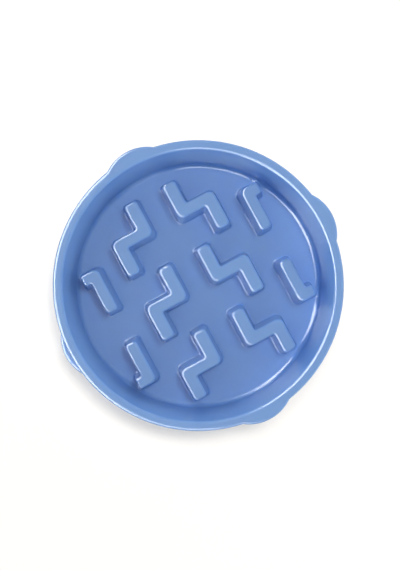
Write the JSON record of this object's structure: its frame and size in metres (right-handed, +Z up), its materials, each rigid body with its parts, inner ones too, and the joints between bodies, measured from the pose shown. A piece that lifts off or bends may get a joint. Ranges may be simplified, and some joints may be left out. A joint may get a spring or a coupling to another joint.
{
  "type": "slow feeder bowl",
  "caption": "Round plastic pet bowl whose floor carries a maze of raised zigzag and hooked ridges that slow eating, standing on push-in rubber feet under lobes of its skirt.",
  "frame": {"origin": "on the plane that the feet stand on, under the middle of the bowl", "axes": "+Z up out of the bowl; +X through the middle of one lobe; +Y through the next lobe, so that the maze mirrors about the YZ plane; -X through the one lobe that ends below the rim"},
  "size_m": [0.216, 0.216, 0.046],
  "materials": {
    "bowl_plastic": "satin moulded polypropylene",
    "foot_rubber": "matt moulded rubber"
  },
  "bodies": {
    "root": {"bowl": "bowl_plastic", "foot_right": "foot_rubber", "foot_back": "foot_rubber", "foot_left": "foot_rubber", "foot_front": "foot_rubber"}
  },
  "joints": []
}
